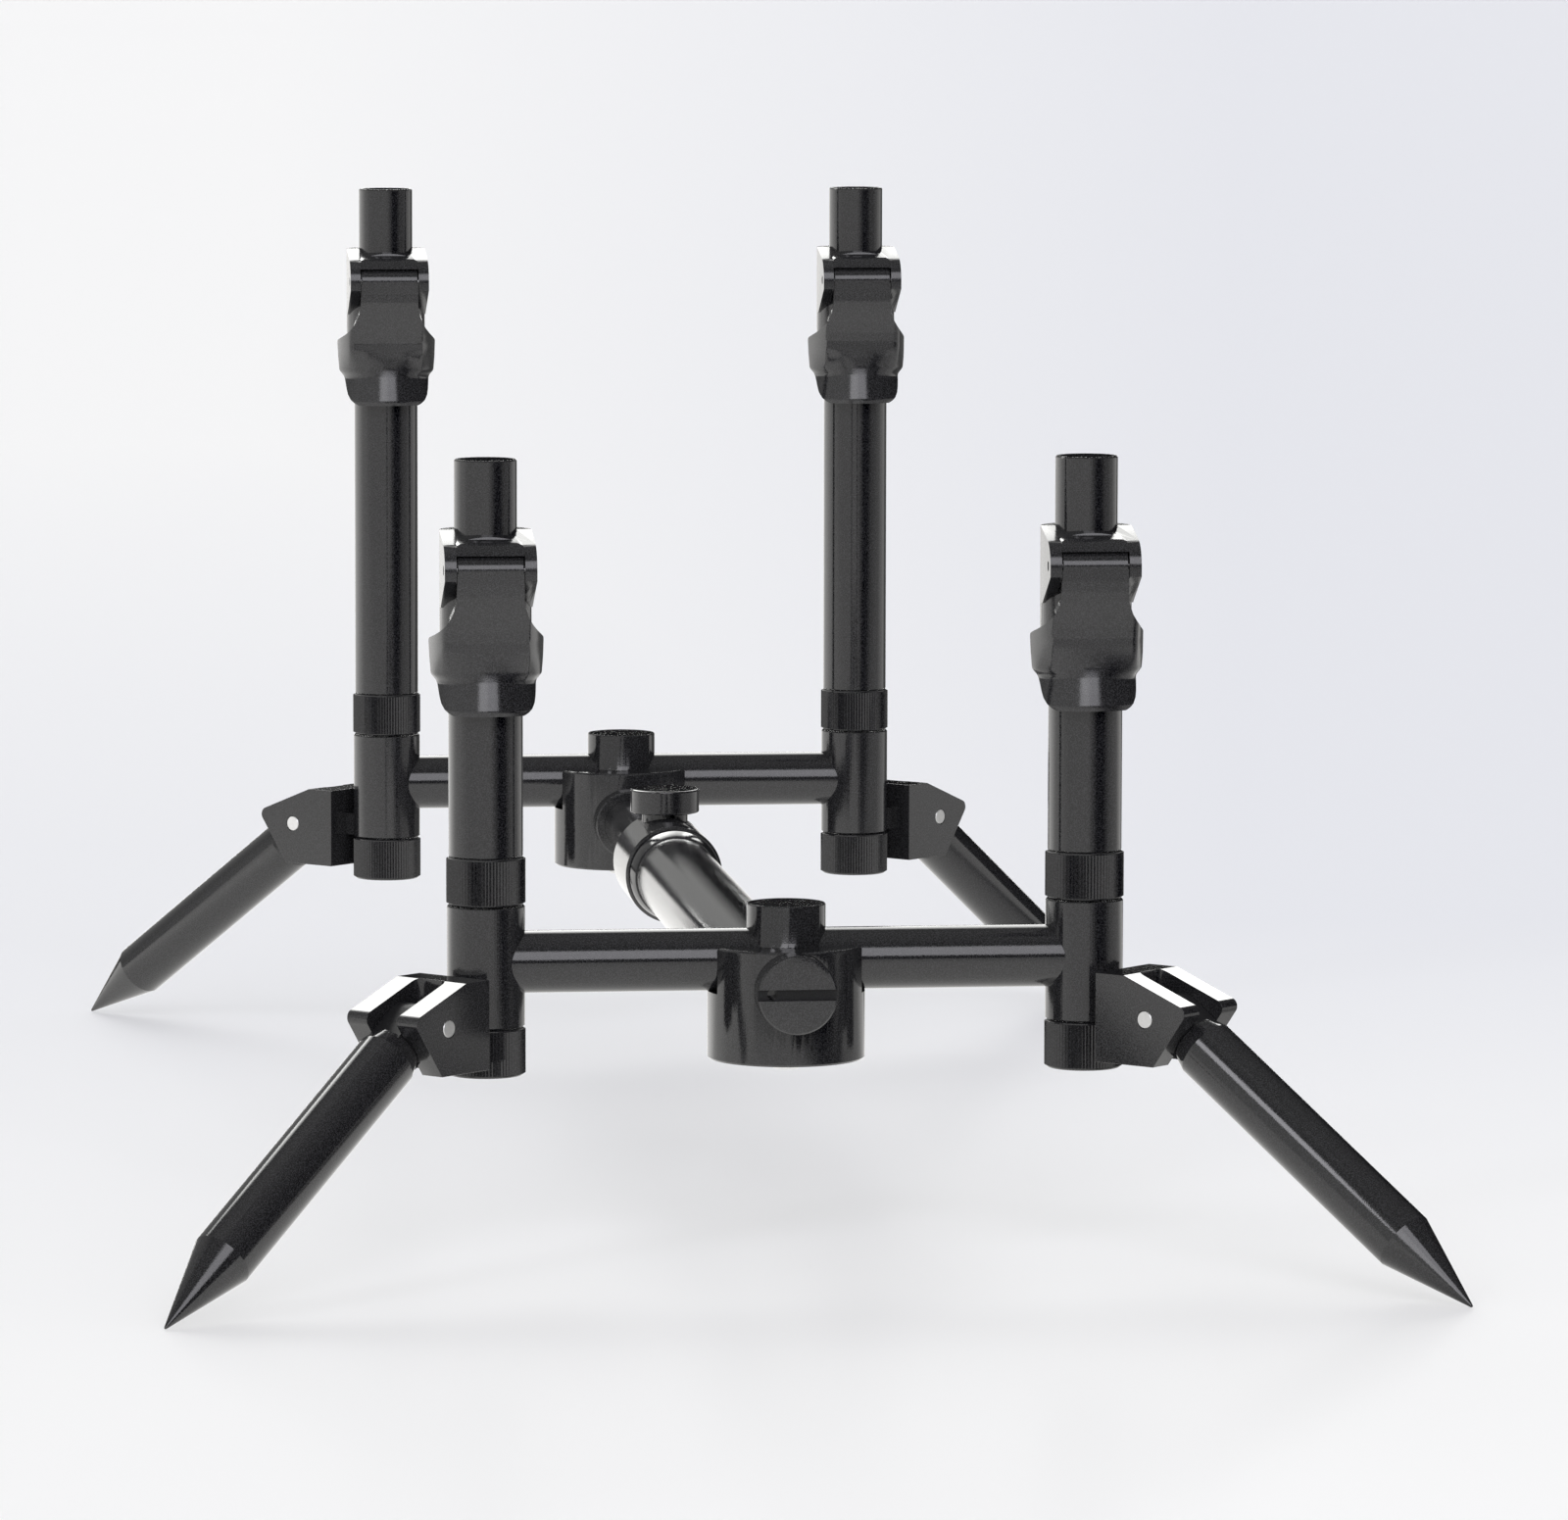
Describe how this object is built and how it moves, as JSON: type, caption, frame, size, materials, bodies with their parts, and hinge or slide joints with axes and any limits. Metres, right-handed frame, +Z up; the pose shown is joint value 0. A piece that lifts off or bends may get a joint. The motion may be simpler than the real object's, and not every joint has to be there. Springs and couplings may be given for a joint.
{
  "type": "rod pod",
  "caption": "Low ground stand for fishing rods: two crossbars on a telescopic spine, cam locked telescopic uprights, bolted clamps and folding pointed legs.",
  "frame": {"origin": "on the ground under the middle of the stand, at the bottom centre of its bounding box", "axes": "+Z up, +Y along the spine from the front crossbar to the rear one, +X to the right seen from the front"},
  "size_m": [0.3884, 0.719, 0.3072],
  "materials": {
    "anodised_aluminium": "black anodised, satin gloss, fine grain",
    "knurled_aluminium": "black anodised, knurled or turned",
    "steel": "bright turned steel",
    "guide_plastic": "dull black engineering plastic"
  },
  "bodies": {
    "front_stand": {"front_clamp_block": "anodised_aluminium", "front_plug": "anodised_aluminium", "front_clamp_cap": "knurled_aluminium", "front_crossbar": "anodised_aluminium", "spine_outer_tube": "anodised_aluminium", "spine_collar": "anodised_aluminium", "front_left_sleeve": "anodised_aluminium", "front_right_sleeve": "anodised_aluminium", "front_left_outer_tube": "anodised_aluminium", "front_right_outer_tube": "anodised_aluminium", "front_left_lock_body": "anodised_aluminium", "front_right_lock_body": "anodised_aluminium", "front_left_bracket": "anodised_aluminium", "front_right_bracket": "anodised_aluminium", "front_studs": "steel", "front_lever_pins": "steel", "front_lock_pads": "guide_plastic", "front_hinge_pins": "steel"},
    "rear_stand": {"rear_clamp_block": "anodised_aluminium", "rear_plug": "anodised_aluminium", "rear_clamp_cap": "knurled_aluminium", "rear_crossbar": "anodised_aluminium", "spine_inner_tube": "anodised_aluminium", "spine_guide_bush": "guide_plastic", "rear_left_sleeve": "anodised_aluminium", "rear_right_sleeve": "anodised_aluminium", "rear_left_outer_tube": "anodised_aluminium", "rear_right_outer_tube": "anodised_aluminium", "rear_left_lock_body": "anodised_aluminium", "rear_right_lock_body": "anodised_aluminium", "rear_left_bracket": "anodised_aluminium", "rear_right_bracket": "anodised_aluminium", "rear_studs": "steel", "rear_lever_pins": "steel", "rear_lock_pads": "guide_plastic", "rear_hinge_pins": "steel"},
    "spine_thumbscrew": {"spine_thumbscrew": "knurled_aluminium"},
    "front_clamp_bolt": {"front_clamp_bolt": "steel"},
    "rear_clamp_bolt": {"rear_clamp_bolt": "steel"},
    "front_left_lock_ring": {"front_left_lock_ring": "knurled_aluminium"},
    "front_left_nut": {"front_left_nut": "knurled_aluminium"},
    "front_left_inner_tube": {"front_left_inner_tube": "anodised_aluminium"},
    "front_left_lever": {"front_left_lever": "anodised_aluminium"},
    "front_left_leg": {"front_left_leg": "anodised_aluminium"},
    "front_right_lock_ring": {"front_right_lock_ring": "knurled_aluminium"},
    "front_right_nut": {"front_right_nut": "knurled_aluminium"},
    "front_right_inner_tube": {"front_right_inner_tube": "anodised_aluminium"},
    "front_right_lever": {"front_right_lever": "anodised_aluminium"},
    "front_right_leg": {"front_right_leg": "anodised_aluminium"},
    "rear_left_lock_ring": {"rear_left_lock_ring": "knurled_aluminium"},
    "rear_left_nut": {"rear_left_nut": "knurled_aluminium"},
    "rear_left_inner_tube": {"rear_left_inner_tube": "anodised_aluminium"},
    "rear_left_lever": {"rear_left_lever": "anodised_aluminium"},
    "rear_left_leg": {"rear_left_leg": "anodised_aluminium"},
    "rear_right_lock_ring": {"rear_right_lock_ring": "knurled_aluminium"},
    "rear_right_nut": {"rear_right_nut": "knurled_aluminium"},
    "rear_right_inner_tube": {"rear_right_inner_tube": "anodised_aluminium"},
    "rear_right_lever": {"rear_right_lever": "anodised_aluminium"},
    "rear_right_leg": {"rear_right_leg": "anodised_aluminium"}
  },
  "joints": [
    {"name": "spine_slide", "type": "slide", "parent": "front_stand", "child": "rear_stand", "axis": [0, 1, 0], "range_m": [-0.105, 0.14]},
    {"name": "spine_thumbscrew_turn", "type": "hinge", "parent": "front_stand", "child": "spine_thumbscrew", "pos_m": [0, 0.10512, 0.10371], "axis": [0, 0, 1], "continuous": true},
    {"name": "front_clamp_bolt_turn", "type": "hinge", "parent": "front_stand", "child": "front_clamp_bolt", "pos_m": [0, -0.2598, 0.07371], "axis": [0, 0, 1], "continuous": true},
    {"name": "rear_clamp_bolt_turn", "type": "hinge", "parent": "rear_stand", "child": "rear_clamp_bolt", "pos_m": [0, 0.2598, 0.07371], "axis": [0, 0, 1], "continuous": true},
    {"name": "front_left_lock_ring_turn", "type": "hinge", "parent": "front_stand", "child": "front_left_lock_ring", "pos_m": [-0.09145, -0.2598, 0.11971], "axis": [0, 0, 1], "continuous": true},
    {"name": "front_left_nut_turn", "type": "hinge", "parent": "front_stand", "child": "front_left_nut", "pos_m": [-0.09145, -0.2598, 0.06771], "axis": [0, 0, 1], "continuous": true},
    {"name": "front_left_inner_tube_slide", "type": "slide", "parent": "front_stand", "child": "front_left_inner_tube", "axis": [0, 0, 1], "range_m": [-0.012, 0.05]},
    {"name": "front_left_lever_turn", "type": "hinge", "parent": "front_stand", "child": "front_left_lever", "pos_m": [-0.09145, -0.2759, 0.21491], "axis": [-1, 0, 0], "range_deg": [0, 80]},
    {"name": "front_left_leg_fold", "type": "hinge", "parent": "front_stand", "child": "front_left_leg", "pos_m": [-0.11484, -0.28251, 0.07871], "axis": [-0.6965, 0.7175, 0], "range_deg": [0, 104]},
    {"name": "front_right_lock_ring_turn", "type": "hinge", "parent": "front_stand", "child": "front_right_lock_ring", "pos_m": [0.09145, -0.2598, 0.11971], "axis": [0, 0, 1], "continuous": true},
    {"name": "front_right_nut_turn", "type": "hinge", "parent": "front_stand", "child": "front_right_nut", "pos_m": [0.09145, -0.2598, 0.06771], "axis": [0, 0, 1], "continuous": true},
    {"name": "front_right_inner_tube_slide", "type": "slide", "parent": "front_stand", "child": "front_right_inner_tube", "axis": [0, 0, 1], "range_m": [-0.012, 0.05]},
    {"name": "front_right_lever_turn", "type": "hinge", "parent": "front_stand", "child": "front_right_lever", "pos_m": [0.09145, -0.2759, 0.21491], "axis": [-1, 0, 0], "range_deg": [0, 80]},
    {"name": "front_right_leg_fold", "type": "hinge", "parent": "front_stand", "child": "front_right_leg", "pos_m": [0.11484, -0.28251, 0.07871], "axis": [-0.6965, -0.7175, 0], "range_deg": [0, 104]},
    {"name": "rear_left_lock_ring_turn", "type": "hinge", "parent": "rear_stand", "child": "rear_left_lock_ring", "pos_m": [-0.0844, 0.2598, 0.11971], "axis": [0, 0, 1], "continuous": true},
    {"name": "rear_left_nut_turn", "type": "hinge", "parent": "rear_stand", "child": "rear_left_nut", "pos_m": [-0.0844, 0.2598, 0.06771], "axis": [0, 0, 1], "continuous": true},
    {"name": "rear_left_inner_tube_slide", "type": "slide", "parent": "rear_stand", "child": "rear_left_inner_tube", "axis": [0, 0, 1], "range_m": [-0.018, 0.09]},
    {"name": "rear_left_lever_turn", "type": "hinge", "parent": "rear_stand", "child": "rear_left_lever", "pos_m": [-0.0844, 0.2437, 0.27491], "axis": [-1, 0, 0], "range_deg": [0, 80]},
    {"name": "rear_left_leg_fold", "type": "hinge", "parent": "rear_stand", "child": "rear_left_leg", "pos_m": [-0.10779, 0.28251, 0.07871], "axis": [0.6965, 0.7175, 0], "range_deg": [0, 104]},
    {"name": "rear_right_lock_ring_turn", "type": "hinge", "parent": "rear_stand", "child": "rear_right_lock_ring", "pos_m": [0.0844, 0.2598, 0.11971], "axis": [0, 0, 1], "continuous": true},
    {"name": "rear_right_nut_turn", "type": "hinge", "parent": "rear_stand", "child": "rear_right_nut", "pos_m": [0.0844, 0.2598, 0.06771], "axis": [0, 0, 1], "continuous": true},
    {"name": "rear_right_inner_tube_slide", "type": "slide", "parent": "rear_stand", "child": "rear_right_inner_tube", "axis": [0, 0, 1], "range_m": [-0.018, 0.09]},
    {"name": "rear_right_lever_turn", "type": "hinge", "parent": "rear_stand", "child": "rear_right_lever", "pos_m": [0.0844, 0.2437, 0.27491], "axis": [-1, 0, 0], "range_deg": [0, 80]},
    {"name": "rear_right_leg_fold", "type": "hinge", "parent": "rear_stand", "child": "rear_right_leg", "pos_m": [0.10779, 0.28251, 0.07871], "axis": [0.6965, -0.7175, 0], "range_deg": [0, 104]}
  ]
}
